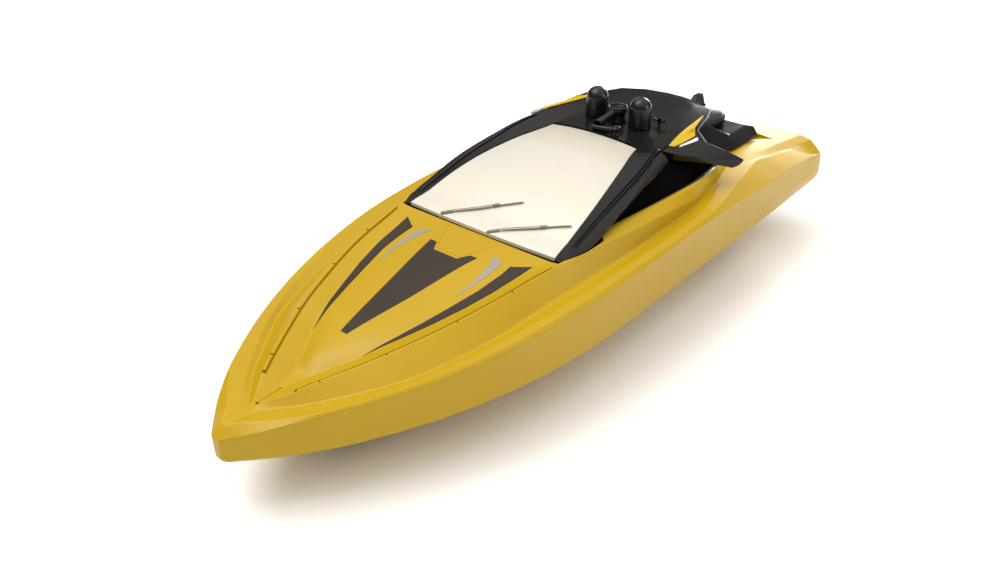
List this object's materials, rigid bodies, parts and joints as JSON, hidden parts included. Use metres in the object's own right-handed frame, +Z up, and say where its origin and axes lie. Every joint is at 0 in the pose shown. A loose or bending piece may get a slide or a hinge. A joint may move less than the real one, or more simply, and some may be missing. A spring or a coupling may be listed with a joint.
{
  "type": "toy boat",
  "caption": "Radio-controlled toy speedboat with a flat-bottomed hull, raised foredeck, lift-up cabin with a turn lock, twin motors and twin propellers.",
  "frame": {"origin": "middle of the boat's length and width, on the plane the keel pad stands on", "axes": "+Y towards the stern, -Y the bow, +X to port, +Z up"},
  "size_m": [0.0944, 0.25, 0.0662],
  "materials": {
    "yellow": "warm yellow moulded ABS, semi-gloss",
    "cabin_black": "black moulded plastic, satin gloss",
    "mirror_film": "champagne silver mirror film on a clear panel",
    "wiper_grey": "dull grey",
    "steel": "bright steel",
    "brass": "turned brass",
    "rubber": "black rubber",
    "inner_grey": "grey moulded plastic",
    "inner_black": "black moulded plastic",
    "inner_white": "white nylon",
    "battery_blue": "blue heat-shrink sleeve",
    "board_green": "green circuit board"
  },
  "bodies": {
    "boat": {"battery_pack": "battery_blue", "battery_strap": "rubber", "battery_tray": "inner_black", "board_capacitor": "battery_blue", "board_crystal": "steel", "board_driver": "inner_black", "board_screw_l": "steel", "board_screw_r": "steel", "board_stand": "inner_black", "clamp_screw_c": "steel", "clamp_screw_l": "steel", "clamp_screw_r": "steel", "control_board": "board_green", "deck_shell": "yellow", "hatch_gasket": "rubber", "hull_shell": "yellow", "motor_can_l": "steel", "motor_can_r": "steel", "motor_clamp": "inner_grey", "motor_cradle": "inner_grey", "motor_endbell_l": "inner_white", "motor_endbell_r": "inner_white", "sensor_pin_l": "steel", "sensor_pin_r": "steel", "stern_bush_l": "inner_white", "stern_bush_r": "inner_white", "stern_tube_l": "brass", "stern_tube_r": "brass", "switch_body": "inner_black", "switch_bracket": "inner_grey"},
    "cabin": {"canopy_shell": "cabin_black", "windscreen": "mirror_film", "wiper_l": "wiper_grey", "wiper_r": "wiper_grey", "side_window_l": "cabin_black", "side_window_r": "cabin_black", "roof_wing_l": "cabin_black", "roof_wing_r": "cabin_black", "roof_dome_l": "cabin_black", "roof_dome_r": "cabin_black", "roof_cap": "cabin_black", "roof_horn": "cabin_black", "roof_post": "cabin_black", "roof_bracket": "cabin_black", "rear_cover": "cabin_black"},
    "lock": {"lock_knob": "cabin_black", "lock_cam": "steel", "lock_screw": "steel"},
    "drive_l": {"drive_coupling_l": "rubber", "prop_shaft_l": "steel", "propeller_l": "inner_white", "prop_nut_l": "brass"},
    "drive_r": {"drive_coupling_r": "rubber", "prop_shaft_r": "steel", "propeller_r": "inner_white", "prop_nut_r": "brass"},
    "switch": {"switch_slider": "inner_white"}
  },
  "joints": [
    {"name": "cabin_hinge", "type": "hinge", "parent": "boat", "child": "cabin", "pos_m": [0, -0.0271, 0.0421], "axis": [1, 0, 0], "range_deg": [0, 35]},
    {"name": "lock_turn", "type": "hinge", "parent": "cabin", "child": "lock", "pos_m": [0, 0.098, 0.044], "axis": [0, 0, 1], "range_deg": [0, 90]},
    {"name": "drive_l_spin", "type": "hinge", "parent": "boat", "child": "drive_l", "pos_m": [0.017, 0.115, 0.0105], "axis": [0, -0.9936, 0.1132], "continuous": true},
    {"name": "drive_r_spin", "type": "hinge", "parent": "boat", "child": "drive_r", "pos_m": [-0.017, 0.115, 0.0105], "axis": [0, -0.9936, 0.1132], "continuous": true},
    {"name": "switch_slide", "type": "slide", "parent": "boat", "child": "switch", "axis": [0, 1, 0], "range_m": [0, 0.003]}
  ]
}
